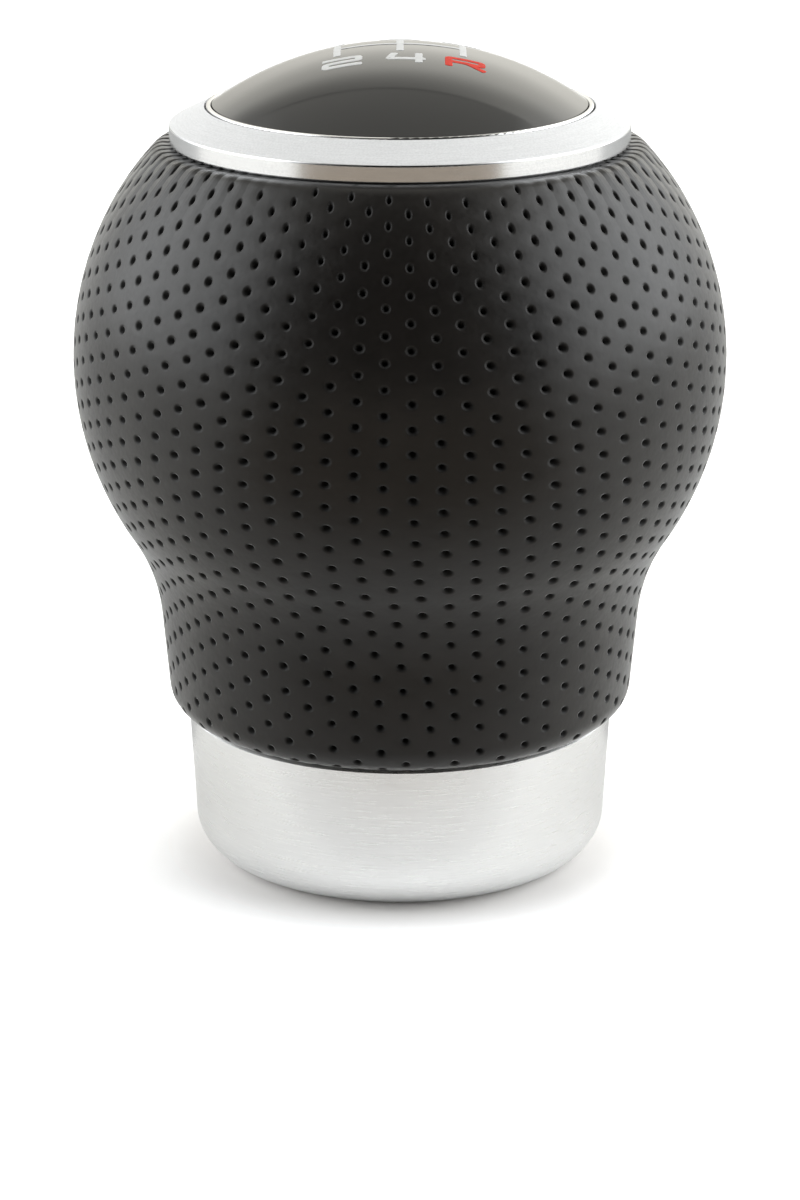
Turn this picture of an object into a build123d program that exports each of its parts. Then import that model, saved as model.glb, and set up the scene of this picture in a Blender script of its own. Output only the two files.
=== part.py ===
from build123d import *
from math import asin, cos, degrees, radians, sin, sqrt, tan
import os

# Gear shift knob: a leather covered bulb between a turned ring and a turned collar.
# The origin is the middle of the collar's foot, +Z runs up the lever, and the driver looks along +Y.

# Grip, measured on the outside of the leather
grip_radius = 28.0
grip_height = 49.95
bulb_arc = 27.2
bulb_rise = 31.3
neck_arc = 16.5
skirt_radius = 20.1
skirt_taper = 5.1
skirt_round = 2.4
shoulder_round = 1.5

# Leather skin
leather_thickness = 1.1
seam_width = 0.5
seam_depth = 0.4
gather_count = 40
gather_radius = 0.7
gather_depth = 0.28

# Collar
collar_height = 13.2
collar_top_radius = 18.65
collar_foot_radius = 17.95
collar_round = 3.6
collar_mouth_radius = 8.5
collar_lip = 1.8
collar_wall = 3.4
collar_thread_length = 5.5

# Lever fitting
lever_radius = 6.0
lever_depth = 33.0
bush_wall = 1.95
bush_flange = 1.0
bush_flange_width = 1.6
bush_slot = 2.0
socket_wall = 2.5
socket_end = 3.0
neck_radius = 12.5
neck_relief = 0.8
hem_gap = 0.6

# Grub screws
grub_count = 3
grub_radius = 2.5
grub_rise = 3.4
grub_recess = 0.3
grub_key_radius = 1.45
grub_key_depth = 2.0

# Ring
ring_radius = 19.5
ring_side = 1.55
ring_rise = 1.5
ring_mouth_radius = 16.5
ring_spigot_radius = 15.1
ring_edge_round = 0.25
cap_seat_depth = 2.3

# Ring screws
screw_count = 3
screw_radius = 1.5
screw_length = 9.0
screw_head_radius = 2.8
screw_slot = 0.8
screw_slot_depth = 0.9
screw_sink = 0.1

# Cap and its bezel
dome_rise = 4.95
cap_wall = 2.0
plug_radius = 7.4
plug_length = 6.0
plug_wall = 1.8
plug_slot = 1.2
pocket_margin = 0.4
bezel_gap = 0.15
bezel_width = 0.45
bezel_stand = 0.15
bezel_sill = 0.6
bezel_sill_width = 1.4

# Clearances, and the least rounding of an edge
running_gap = 0.1
seat_gap = 0.05
lip_gap = 0.2
edge_break = 0.2

# Heights that follow from the sizes above
ring_seat = collar_height + grip_height
bulb_height = collar_height + bulb_rise
core_foot = collar_height + leather_thickness
core_top = ring_seat - leather_thickness
ring_crease = ring_seat + ring_side
ring_top = ring_crease + ring_rise
cap_seat = ring_top - cap_seat_depth
bezel_top = ring_top + bezel_stand
dome_foot = cap_seat + bezel_sill
dome_top = bezel_top + dome_rise
plug_foot = cap_seat - plug_length
bush_foot = collar_lip + lip_gap
neck_foot = bush_foot + bush_flange
bush_top = bush_foot + lever_depth
socket_floor = bush_top + lip_gap
socket_top = socket_floor + socket_end
grub_height = neck_foot + grub_rise

# Radii that follow from the sizes above
bush_radius = lever_radius + bush_wall
socket_bore = bush_radius + seat_gap
socket_radius = socket_bore + socket_wall
bush_flange_radius = bush_radius + bush_flange_width
collar_thread_radius = neck_radius + running_gap
collar_cavity_radius = collar_foot_radius - collar_wall
bezel_radius = ring_mouth_radius - bezel_gap
bezel_inner_radius = bezel_radius - bezel_width
dome_radius = bezel_inner_radius - seat_gap
plug_hole_radius = plug_radius + running_gap
screw_circle = (plug_hole_radius + ring_spigot_radius) / 2

# Grub screws stand evenly round the neck, the first at the back, with the bush's slot opposite it
grub_start = 90
screw_start = 30


def skirt_line(inset, height):
    """Radius of the skirt at a height, on a face that lies inset inside the leather's outer face."""
    lean = radians(skirt_taper)
    return skirt_radius - inset / cos(lean) + tan(lean) * (height - collar_height)


def bulb_line(inset, height):
    """Radius of the bulb's arc at a height, on a face that lies inset inside the leather's outer face."""
    reach = sqrt((bulb_arc - inset) ** 2 - (height - bulb_height) ** 2)
    return grip_radius - bulb_arc + reach


def neck_corner(inset):
    """The point below the bulb where its arc would cut the skirt, before the neck is rounded."""
    lean = tan(radians(skirt_taper))
    start = skirt_line(inset, 0) - (grip_radius - bulb_arc)
    a = 1 + lean**2
    b = 2 * (lean * start - bulb_height)
    c = start**2 + bulb_height**2 - (bulb_arc - inset) ** 2
    height = (-b - sqrt(b**2 - 4 * a * c)) / (2 * a)
    return (skirt_line(inset, height), height)


def grip_section(inset):
    """Half section of the grip, from the axis to a face that lies inset inside the leather's outer face."""
    foot = collar_height + inset
    top = ring_seat - inset
    skirt_foot = (skirt_line(inset, foot), foot)
    neck = neck_corner(inset)
    widest = (grip_radius - inset, bulb_height)
    shoulder = (bulb_line(inset, top), top)
    with BuildSketch() as section:
        with BuildLine():
            Polyline((0, top), (0, foot), skirt_foot, neck)
            ThreePointArc(neck, widest, shoulder)
            Line(shoulder, (0, top))
        make_face()
        fillet(section.vertices().sort_by_distance(neck)[0], neck_arc + inset)
        fillet(section.vertices().sort_by_distance(skirt_foot)[0], max(skirt_round - inset, edge_break))
        fillet(section.vertices().sort_by_distance(shoulder)[0], max(shoulder_round - inset, edge_break))
    return section.sketch


os.makedirs("parts", exist_ok=True)

# Moulded core: the bulb under the leather, bored for the lever socket, the cap's plug and the ring's screws
with BuildPart() as grip_core:
    with BuildSketch(Plane.XZ):
        add(grip_section(leather_thickness))
    revolve(axis=Axis.Z)
    with Locations((0, 0, core_foot)):
        Cylinder(
            socket_radius,
            socket_top - core_foot,
            align=(Align.CENTER, Align.CENTER, Align.MIN),
            mode=Mode.SUBTRACT,
        )
    with Locations((0, 0, core_top)):
        Hole(plug_hole_radius + pocket_margin, core_top - plug_foot + pocket_margin)
        with PolarLocations(screw_circle, screw_count, start_angle=screw_start):
            Hole(screw_radius + seat_gap, screw_length)
grip_core.part.label = "grip_core"
export_step(grip_core.part, "parts/grip_core.step")

# Leather skin: one even wall over the core, turned in under the ring and over the collar
gather_angle = degrees(asin((ring_seat - bulb_height) / bulb_arc))
gather_centre = bulb_arc - gather_depth + gather_radius
gather_reach = 2 * sqrt(2 * bulb_arc * gather_depth)
seam_arc = degrees(seam_width / skirt_radius)
with BuildPart() as leather_cover:
    with BuildSketch(Plane.XZ):
        add(grip_section(0))
        add(grip_section(leather_thickness), mode=Mode.SUBTRACT)
        with Locations((0, core_top)):
            Rectangle(
                ring_spigot_radius + seat_gap,
                2 * leather_thickness,
                align=(Align.MIN, Align.CENTER),
                mode=Mode.SUBTRACT,
            )
        with Locations((0, core_foot)):
            Rectangle(
                neck_radius + hem_gap,
                2 * leather_thickness,
                align=(Align.MIN, Align.CENTER),
                mode=Mode.SUBTRACT,
            )
    revolve(axis=Axis.Z)
    # Closing seam down the back
    with BuildSketch(Plane.YZ.rotated((0, -seam_arc / 2, 0))):
        add(grip_section(0))
        add(grip_section(seam_depth), mode=Mode.SUBTRACT)
        with Locations((0, bulb_height)):
            Rectangle(2 * (skirt_radius - skirt_round), 2 * grip_height, mode=Mode.SUBTRACT)
    revolve(axis=Axis.Z, revolution_arc=seam_arc, mode=Mode.SUBTRACT)
    # Gathers: shallow flutes that run down from the ring and fade out on the bulb
    with Locations((0, 0, bulb_height + gather_centre * sin(radians(gather_angle)))):
        with PolarLocations(
            grip_radius - bulb_arc + gather_centre * cos(radians(gather_angle)),
            gather_count,
        ):
            Cylinder(gather_radius, gather_reach, rotation=(0, -gather_angle, 0), mode=Mode.SUBTRACT)
leather_cover.part.label = "leather_cover"
export_step(leather_cover.part, "parts/leather_cover.step")

# Turned ring: sloped face and short side outside, a recess for the cap and a spigot inside the leather's hem
with BuildPart() as top_ring:
    with BuildSketch(Plane.XZ) as ring_section:
        with BuildLine():
            Polyline(
                (plug_hole_radius, core_top),
                (ring_spigot_radius, core_top),
                (ring_spigot_radius, ring_seat),
                (ring_radius, ring_seat),
                (ring_radius, ring_crease),
                (ring_mouth_radius, ring_top),
                (ring_mouth_radius, cap_seat),
                (plug_hole_radius, cap_seat),
                close=True,
            )
        make_face()
        crease = ring_section.vertices().sort_by_distance((ring_radius, ring_crease))[0]
        fillet(crease, ring_edge_round)
        rim = ring_section.vertices().sort_by_distance((ring_radius, ring_seat))[0]
        fillet(rim, ring_edge_round)
    revolve(axis=Axis.Z)
    with Locations((0, 0, cap_seat)):
        with PolarLocations(screw_circle, screw_count, start_angle=screw_start):
            CounterSinkHole(screw_radius + seat_gap, screw_head_radius, counter_sink_angle=90)
top_ring.part.label = "top_ring"
export_step(top_ring.part, "parts/top_ring.step")

# Countersunk cross recess screws that hold the ring down on the core
with BuildPart() as ring_screws:
    head_radius = screw_head_radius - screw_sink
    with Locations((0, 0, cap_seat - screw_sink)):
        with PolarLocations(screw_circle, screw_count, start_angle=screw_start):
            Cone(
                screw_radius,
                head_radius,
                head_radius - screw_radius,
                align=(Align.CENTER, Align.CENTER, Align.MAX),
            )
            Cylinder(screw_radius, screw_length, align=(Align.CENTER, Align.CENTER, Align.MAX))
            for slot_turn in (0, 90):
                Box(
                    2 * screw_radius,
                    screw_slot,
                    screw_slot_depth,
                    rotation=(0, 0, slot_turn),
                    align=(Align.CENTER, Align.CENTER, Align.MAX),
                    mode=Mode.SUBTRACT,
                )
ring_screws.part.label = "ring_screws"
export_step(ring_screws.part, "parts/ring_screws.step")

# Bright bezel: a thin rim round the dome with a sill that the dome sits on
with BuildPart() as cap_bezel:
    with BuildSketch(Plane.XZ) as bezel_section:
        with BuildLine():
            Polyline(
                (bezel_inner_radius - bezel_sill_width, cap_seat),
                (bezel_radius, cap_seat),
                (bezel_radius, bezel_top),
                (bezel_inner_radius, bezel_top),
                (bezel_inner_radius, dome_foot),
                (bezel_inner_radius - bezel_sill_width, dome_foot),
                close=True,
            )
        make_face()
        fillet(bezel_section.vertices().group_by(Axis.Y)[-1], bezel_width / 3)
    revolve(axis=Axis.Z)
cap_bezel.part.label = "cap_bezel"
export_step(cap_bezel.part, "parts/cap_bezel.step")

# Domed cap: a moulded shell with a slotted plug that pushes into the ring
with BuildPart() as pattern_cap:
    shell_inner = dome_radius - cap_wall
    inner_rise = dome_top - cap_wall - dome_foot
    inner_arc = (shell_inner**2 + inner_rise**2) / (2 * inner_rise)
    plug_inner = plug_radius - plug_wall
    plug_root = dome_top - cap_wall - inner_arc + sqrt(inner_arc**2 - plug_inner**2)
    with BuildSketch(Plane.XZ):
        with BuildLine():
            TangentArc((0, dome_top), (dome_radius, bezel_top), tangent=(1, 0))
            Polyline((dome_radius, bezel_top), (dome_radius, dome_foot), (shell_inner, dome_foot))
            TangentArc((0, dome_top - cap_wall), (shell_inner, dome_foot), tangent=(1, 0))
            Line((0, dome_top - cap_wall), (0, dome_top))
        make_face()
        with Locations((plug_inner, plug_foot)):
            Rectangle(plug_wall, plug_root - plug_foot, align=(Align.MIN, Align.MIN))
    revolve(axis=Axis.Z)
    with Locations((0, 0, plug_foot)):
        for slot_turn in (0, 90):
            Box(
                3 * plug_radius,
                plug_slot,
                plug_length,
                rotation=(0, 0, slot_turn),
                align=(Align.CENTER, Align.CENTER, Align.MIN),
                mode=Mode.SUBTRACT,
            )
pattern_cap.part.label = "pattern_cap"
export_step(pattern_cap.part, "parts/pattern_cap.step")

# Turned socket: a blind sleeve in the core and a thicker neck below it for the collar and the grub screws
with BuildPart() as lever_socket:
    relief_foot = core_foot - 2 * neck_relief
    with BuildSketch(Plane.XZ) as socket_section:
        with BuildLine():
            Polyline(
                (socket_bore, neck_foot),
                (neck_radius, neck_foot),
                (neck_radius, relief_foot),
                (neck_radius - neck_relief, relief_foot),
                (neck_radius - neck_relief, core_foot),
                (socket_radius, core_foot),
                (socket_radius, socket_top),
                (0, socket_top),
                (0, socket_floor),
                (socket_bore, socket_floor),
                close=True,
            )
        make_face()
        chamfer(socket_section.vertices().sort_by_distance((neck_radius, neck_foot))[0], neck_relief)
        chamfer(socket_section.vertices().sort_by_distance((socket_radius, socket_top))[0], neck_relief)
    revolve(axis=Axis.Z)
    with Locations((0, 0, grub_height)):
        with PolarLocations(0, grub_count, start_angle=grub_start):
            Cylinder(
                grub_radius + seat_gap,
                2 * neck_radius,
                rotation=(0, 90, 0),
                align=(Align.CENTER, Align.CENTER, Align.MIN),
                mode=Mode.SUBTRACT,
            )
lever_socket.part.label = "lever_socket"
export_step(lever_socket.part, "parts/lever_socket.step")

# Split bush: grips the lever when the grub screws press on it
with BuildPart() as adapter_bush:
    with BuildSketch(Plane.XZ) as bush_section:
        with BuildLine():
            Polyline(
                (lever_radius, bush_foot),
                (bush_flange_radius, bush_foot),
                (bush_flange_radius, neck_foot),
                (bush_radius, neck_foot),
                (bush_radius, bush_top),
                (lever_radius, bush_top),
                close=True,
            )
        make_face()
        chamfer(bush_section.vertices().sort_by_distance((lever_radius, bush_foot))[0], bush_flange / 2)
    revolve(axis=Axis.Z)
    with Locations((0, 0, bush_foot)):
        with PolarLocations(0, 1, start_angle=grub_start + 180):
            Box(
                2 * bush_flange_radius,
                bush_slot,
                lever_depth,
                align=(Align.MIN, Align.CENTER, Align.MIN),
                mode=Mode.SUBTRACT,
            )
adapter_bush.part.label = "adapter_bush"
export_step(adapter_bush.part, "parts/adapter_bush.step")

# Socket grub screws through the neck, tight on the bush
with BuildPart() as grub_screws:
    with Locations((0, 0, grub_height)):
        with PolarLocations(bush_radius, grub_count, start_angle=grub_start):
            Cylinder(
                grub_radius,
                neck_radius - grub_recess - bush_radius,
                rotation=(0, 90, 0),
                align=(Align.CENTER, Align.CENTER, Align.MIN),
            )
    for turn in range(grub_count):
        angle = radians(grub_start + 360 * turn / grub_count)
        outward = Vector(cos(angle), sin(angle), 0)
        key_face = outward * (neck_radius - grub_recess) + Vector(0, 0, grub_height)
        with BuildSketch(Plane(origin=key_face, z_dir=outward)):
            RegularPolygon(grub_key_radius, 6)
        extrude(amount=-grub_key_depth, mode=Mode.SUBTRACT)
grub_screws.part.label = "grub_screws"
export_step(grub_screws.part, "parts/grub_screws.step")

# Turned collar: threads up the neck against the leather's lower hem and hides the grub screws
with BuildPart() as base_collar:
    with BuildSketch(Plane.XZ) as collar_section:
        with BuildLine():
            Polyline(
                (collar_mouth_radius, 0),
                (collar_foot_radius, 0),
                (collar_top_radius, collar_height),
                (collar_thread_radius, collar_height),
                (collar_thread_radius, collar_height - collar_thread_length),
                (collar_cavity_radius, collar_height - collar_thread_length),
                (collar_cavity_radius, collar_lip),
                (collar_mouth_radius, collar_lip),
                close=True,
            )
        make_face()
        fillet(collar_section.vertices().sort_by_distance((collar_foot_radius, 0))[0], collar_round)
        mouth = collar_section.vertices().sort_by_distance((collar_mouth_radius, 0))[0]
        chamfer(mouth, edge_break)
        brim = collar_section.vertices().sort_by_distance((collar_top_radius, collar_height))[0]
        chamfer(brim, edge_break)
        lead = collar_section.vertices().sort_by_distance((collar_thread_radius, collar_height))[0]
        chamfer(lead, edge_break)
    revolve(axis=Axis.Z)
base_collar.part.label = "base_collar"
export_step(base_collar.part, "parts/base_collar.step")
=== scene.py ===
# %% [markdown]
# # A leather and aluminium gear shift knob
# The knob stands on its turned collar. Above it a waisted grip is covered with perforated black leather, a
# bright ring holds the leather down, and a domed black cap with the shift pattern sits in the ring. The
# solids come in as a fixed frame in metres. The drawing below works in millimetres, as a workshop drawing
# does, and MM turns them into metres. The studio round the knob is in metres. The box of the bare solids is
# kept, because the dressed knob must fit it.

# %% Load the solids
import math

import bpy
import numpy as np
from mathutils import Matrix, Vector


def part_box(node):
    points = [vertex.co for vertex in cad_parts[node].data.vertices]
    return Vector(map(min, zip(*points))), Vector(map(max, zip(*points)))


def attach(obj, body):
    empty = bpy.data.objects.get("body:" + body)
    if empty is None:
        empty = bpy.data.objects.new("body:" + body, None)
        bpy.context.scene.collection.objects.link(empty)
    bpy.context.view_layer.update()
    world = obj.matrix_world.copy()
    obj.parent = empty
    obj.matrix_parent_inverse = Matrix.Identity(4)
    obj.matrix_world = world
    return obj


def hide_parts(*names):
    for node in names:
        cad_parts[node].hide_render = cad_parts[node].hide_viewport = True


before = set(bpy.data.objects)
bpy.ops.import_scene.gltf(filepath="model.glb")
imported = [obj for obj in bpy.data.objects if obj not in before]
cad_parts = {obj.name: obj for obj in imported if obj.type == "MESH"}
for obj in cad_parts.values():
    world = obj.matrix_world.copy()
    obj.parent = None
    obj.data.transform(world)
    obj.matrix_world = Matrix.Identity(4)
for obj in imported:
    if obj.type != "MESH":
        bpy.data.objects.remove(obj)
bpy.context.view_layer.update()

MM = 0.001

# %% [markdown]
# ## From arrays to a mesh
# Blender can take a mesh one vertex at a time, or as whole arrays. Arrays are faster and keep a shape
# readable as one formula, so each new piece below is an array of points and a few arrays of faces, and one
# helper hands them over at once. Every piece then rides on the body that carries it on the real knob.


# %% Helpers that make a piece
def facets(*corners):
    """Faces as rows of point numbers, from one array of point numbers for each corner."""
    return np.stack(corners, axis=-1).reshape(-1, len(corners))


def make_piece(name, points, faces, material, body, slot):
    """Points (n, 3) in millimetres and a list of face arrays (m, 3) or (m, 4) become one smooth piece."""
    mesh = bpy.data.meshes.new(name)
    sizes = np.concatenate([np.full(len(block), block.shape[1]) for block in faces])
    corners = np.concatenate([block.ravel() for block in faces])
    mesh.vertices.add(len(points))
    mesh.vertices.foreach_set("co", (points * MM).ravel())
    mesh.loops.add(len(corners))
    mesh.loops.foreach_set("vertex_index", corners.astype(np.int32))
    mesh.polygons.add(len(sizes))
    mesh.polygons.foreach_set("loop_start", (np.cumsum(sizes) - sizes).astype(np.int32))
    mesh.update(calc_edges=True)
    mesh.validate()
    mesh.shade_smooth()
    mesh.materials.append(material)
    piece = bpy.data.objects.new(name, mesh)
    bpy.context.scene.collection.objects.link(piece)
    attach(piece, body)
    print(name, len(points), "points", len(sizes), "faces on", body)
    return piece


print("mesh helpers ready")

# %% [markdown]
# ## A small set of node tools
# A finish is a tree of shader nodes. The same few steps come back in each: read the place on the object,
# stretch it, feed it to a noise, and turn the result into a tone, a roughness or a bump. Short helpers keep
# each finish readable. Values that are the same all over a surface stay on the shader's own sockets.


# %% Materials and their nodes
def socket_name(word):
    """The shader's name for a socket that is written in lower case with underscores."""
    return word.replace("_", " ").title().replace("Ior", "IOR")


def new_finish(name, colour, roughness, **sockets):
    """A material whose even values sit on the shader's own sockets. Returns it with its tree and shader."""
    material = bpy.data.materials.new(name)
    material.use_nodes = True
    tree = material.node_tree
    shader = tree.nodes["Principled BSDF"]
    shader.inputs["Base Color"].default_value = (*colour, 1)
    shader.inputs["Roughness"].default_value = roughness
    for word, value in sockets.items():
        shader.inputs[socket_name(word)].default_value = value
    return material, tree, shader


def add_node(tree, kind, settings=None, **inputs):
    """A node with its settings, and each named input either linked from a socket or set to a value."""
    node = tree.nodes.new(kind)
    for key, value in (settings or {}).items():
        setattr(node, key, value)
    for key, value in inputs.items():
        socket = node.inputs[int(key[1:])] if key[0] == "i" and key[1:].isdigit() else node.inputs[key]
        if isinstance(value, bpy.types.NodeSocket):
            tree.links.new(value, socket)
        else:
            socket.default_value = value
    return node


def feed(tree, shader, **sockets):
    """Links results to the shader's sockets, which are named in lower case with underscores."""
    for word, value in sockets.items():
        tree.links.new(value, shader.inputs[socket_name(word)])


print("node helpers ready")


# %% Places and plain sums
def object_place(tree, scale=(1, 1, 1)):
    """The place on the object in metres, stretched by one factor for each axis."""
    place = add_node(tree, "ShaderNodeTexCoord").outputs["Object"]
    return add_node(tree, "ShaderNodeMapping", Vector=place, Scale=scale).outputs["Vector"]


def axes_of(tree, vector):
    """The X, Y and Z of a place or a direction."""
    return add_node(tree, "ShaderNodeSeparateXYZ", Vector=vector).outputs


def axis_reach(tree, axes):
    """The distance from the Z axis: the length of X and Y together."""
    flat = add_node(tree, "ShaderNodeCombineXYZ", X=axes["X"], Y=axes["Y"]).outputs["Vector"]
    return add_node(tree, "ShaderNodeVectorMath", {"operation": "LENGTH"}, i0=flat).outputs["Value"]


def math_of(tree, operation, *values):
    """The result of one operation on one, two or three values."""
    inputs = {f"i{place}": value for place, value in enumerate(values)}
    return add_node(tree, "ShaderNodeMath", {"operation": operation}, **inputs).outputs["Value"]


print("place helpers ready")


# %% Noises, ranges, tones and bumps
def noise(tree, place, scale, detail=3.0):
    """A soft random value from 0 to 1 at each place."""
    return add_node(tree, "ShaderNodeTexNoise", Vector=place, Scale=scale, Detail=detail).outputs["Fac"]


def spread(tree, value, low, high, start=0.3, stop=0.7, course="LINEAR"):
    """A value that runs from low to high while the input runs from start to stop."""
    inputs = {"Value": value, "From Min": start, "From Max": stop, "To Min": low, "To Max": high}
    return add_node(tree, "ShaderNodeMapRange", {"interpolation_type": course}, **inputs).outputs["Result"]


def mix_of(tree, share, first, second):
    """A value between two values, by a share from 0 to 1."""
    return add_node(tree, "ShaderNodeMix", i0=share, i2=first, i3=second).outputs[0]


def tone(tree, share, dark, light):
    """A colour between two colours, each of them three numbers or a socket, by a share from 0 to 1."""
    ends = [end if isinstance(end, bpy.types.NodeSocket) else (*end, 1) for end in (dark, light)]
    return add_node(tree, "ShaderNodeMix", {"data_type": "RGBA"}, i0=share, i6=ends[0], i7=ends[1]).outputs[2]


def add_bump(tree, shader, height, depth, under=None):
    """A bump whose full height is a depth in millimetres, laid over another bump if there is one."""
    inputs = {"Height": height, "Distance": depth * MM, "Strength": 1.0}
    if under is not None:
        inputs["Normal"] = under
    bump = add_node(tree, "ShaderNodeBump", **inputs).outputs["Normal"]
    feed(tree, shader, normal=bump)
    return bump


print("finish helpers ready")

# %% [markdown]
# ## The grip's outline
# The leather is drawn over a round core, so one outline spun round the axis gives its form: a flat hem under
# the ring, a tight shoulder, the bulb's large arc, the neck's hollow arc, a tapered skirt and a rounded foot.
# A spline through measured points would wobble between them. Arcs that meet at their tangents don't, and each
# of them keeps a size that a maker could measure.

# %% Sizes of the grip
leather_low, leather_high = (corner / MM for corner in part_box("leather_cover"))
FOOT_HEIGHT = leather_low.z
SEAT_HEIGHT = leather_high.z
GRIP_RADIUS = leather_high.x
BULB_ARC = 27.2
BULB_RISE = 31.3
NECK_ARC = 16.5
SKIRT_RADIUS = 20.1
SKIRT_TAPER = math.radians(5.1)
SKIRT_ROUND = 2.4
SHOULDER_ROUND = 1.5
LEATHER_THICKNESS = 1.1
TOP_HEM_RADIUS = 15.15
FOOT_HEM_RADIUS = 13.1
print("grip radius", GRIP_RADIUS, "from", FOOT_HEIGHT, "to", SEAT_HEIGHT)


# %% The outline as runs and arcs
def arc(centre, radius, start, stop, count=400):
    """Points of a circle between two angles: centre + radius (cosine, sine)."""
    angle = np.linspace(start, stop, count)
    return np.column_stack([centre[0] + radius * np.cos(angle), centre[1] + radius * np.sin(angle)])


def level_run(start, stop, height, count=50):
    """Points of a level line between two radii."""
    return np.column_stack([np.linspace(start, stop, count), np.full(count, height)])


def run_along(path):
    """Distance along a path at each of its points: the lengths of its steps, added up."""
    return np.concatenate([[0], np.cumsum(np.linalg.norm(np.diff(path, axis=0), axis=1))])


def grip_outline():
    """The leather's outside from hem to hem as (radius, height): runs and arcs that meet at their tangents.

    Each arc's centre follows from the circles and lines that it touches: the shoulder lies inside the bulb's
    circle, the neck outside it and beside the skirt's line, and the foot between the skirt and the level hem.
    """
    bulb = np.array([GRIP_RADIUS - BULB_ARC, FOOT_HEIGHT + BULB_RISE])
    shoulder_rise = SEAT_HEIGHT - SHOULDER_ROUND - bulb[1]
    shoulder = bulb + [math.sqrt((BULB_ARC - SHOULDER_ROUND) ** 2 - shoulder_rise**2), shoulder_rise]
    shoulder_turn = math.atan2(*(shoulder - bulb)[::-1])
    outward = np.array([math.cos(SKIRT_TAPER), -math.sin(SKIRT_TAPER)])
    along = np.array([math.sin(SKIRT_TAPER), math.cos(SKIRT_TAPER)])
    beside = np.array([SKIRT_RADIUS, FOOT_HEIGHT]) + NECK_ARC * outward
    reach = along @ (beside - bulb)
    slide = -reach - math.sqrt(reach**2 - (beside - bulb) @ (beside - bulb) + (BULB_ARC + NECK_ARC) ** 2)
    neck = beside + slide * along
    neck_turn = math.atan2(*(neck - bulb)[::-1])
    foot_shift = SKIRT_ROUND * (math.sin(SKIRT_TAPER) - 1) / math.cos(SKIRT_TAPER)
    foot = np.array([SKIRT_RADIUS + foot_shift, FOOT_HEIGHT + SKIRT_ROUND])
    return [
        level_run(TOP_HEM_RADIUS, shoulder[0], SEAT_HEIGHT),
        arc(shoulder, SHOULDER_ROUND, math.pi / 2, shoulder_turn)[1:],
        arc(bulb, BULB_ARC, shoulder_turn, neck_turn)[1:],
        arc(neck, NECK_ARC, math.pi + neck_turn, math.pi - SKIRT_TAPER)[1:],
        arc(foot, SKIRT_ROUND, -SKIRT_TAPER, -math.pi / 2),
        level_run(foot[0], FOOT_HEM_RADIUS, FOOT_HEIGHT)[1:],
    ]


outline_parts = grip_outline()
outline = np.concatenate(outline_parts)
outline_run = run_along(outline)
outline_tangent = np.gradient(outline, outline_run, axis=0)
bulb_start = outline_run[len(outline_parts[0]) + len(outline_parts[1]) - 1]
print("outline", len(outline), "points,", round(outline_run[-1], 2), "mm, bulb from", round(bulb_start, 2))

# %% [markdown]
# ## A place on the leather
# Holes, pleats and stitches all follow the leather, so they need one function that turns a place on the sheet
# into a place in space: how far along the outline, which angle round the axis, and how far out from the
# surface. Pieces could be moved on to the surface one by one, but that would have to be done again whenever a
# size changes. The front of the knob looks along -Y, so the angle starts there and grows to the viewer's
# right.


# %% From the sheet to space
def on_grip(run, turn, lift):
    """Point at a run along the outline and a turn round the axis, lifted along the outline's outward normal.

    The outline's tangent (a, b) gives the normal (-b, a), and the turn spins radius and height round Z.
    """
    radius, height = (np.interp(run, outline_run, outline[:, axis]) for axis in (0, 1))
    across, climb = (np.interp(run, outline_run, outline_tangent[:, axis]) for axis in (0, 1))
    length = np.hypot(across, climb)
    radius = radius - lift * climb / length
    height = height + lift * across / length
    return np.stack([radius * np.sin(turn), -radius * np.cos(turn), height], axis=-1)


print("front of the bulb", on_grip(np.array([30.0]), np.array([0.0]), 0.0).round(2))

# %% [markdown]
# ## Where the holes go
# The leather is punched flat in a staggered pattern, then stretched over the bulb. Its rows stay a little
# over 1 mm apart along the surface. They hang lowest at the front and climb towards the sides, more to the
# left, because a flat sheet can't lie level all round a bulb. The columns run down the knob, closer together
# at the front of the ring and wider apart at the foot, and lean a little to one side. A hole sits where
# column and row add up to an even number. A texture could paint the holes, but real ones catch the light on
# their lips, so they are dents in the mesh, and the mesh follows the pattern's own diamonds.

# %% The pattern's grid
HOLE_COLUMNS = 39
HALF_COLUMNS = 2 * HOLE_COLUMNS
HALF_ROWS = 52
PATTERN_START = bulb_start - 1.82
PATTERN_LENGTH = 55.7
ROW_WAVE = 0.67
CLIMB = (4.06, 1.79)
CLIMB_REACH = 1.25
TILT = (1.55, 0.58)
SQUEEZE = (-0.117, 0.28)
LEAN = 0.12
DRIFT = 0.086
DRIFT_START = 0.45
COLUMN_PHASE = -0.57
HIDDEN_RUN = 4.2
HIDDEN_REACH = 3.8
print("columns", HOLE_COLUMNS, "half rows", HALF_ROWS)


# %% Turn of a column, run of a row
def smooth_step(value):
    """Runs from 0 to 1 with level ends: 3 x squared less 2 x cubed."""
    x = np.clip(value, 0, 1)
    return x * x * (3 - 2 * x)


def between(ends, share):
    """The value at a share of the way from the first end to the second."""
    return ends[0] + (ends[1] - ends[0]) * share


def column_turn(column, row):
    """Angle of a column: even steps, pulled to or from the front by a sine, with a lean and a drift below."""
    share = np.asarray(row) / HALF_ROWS
    low = smooth_step(share)
    even = 2 * math.pi * (np.asarray(column) + COLUMN_PHASE) / HALF_COLUMNS
    drift = DRIFT * smooth_step((share - DRIFT_START) / (1 - DRIFT_START))
    return even + between(SQUEEZE, low) * np.sin(even) + LEAN * low * (1 - np.cos(even)) + drift


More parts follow.
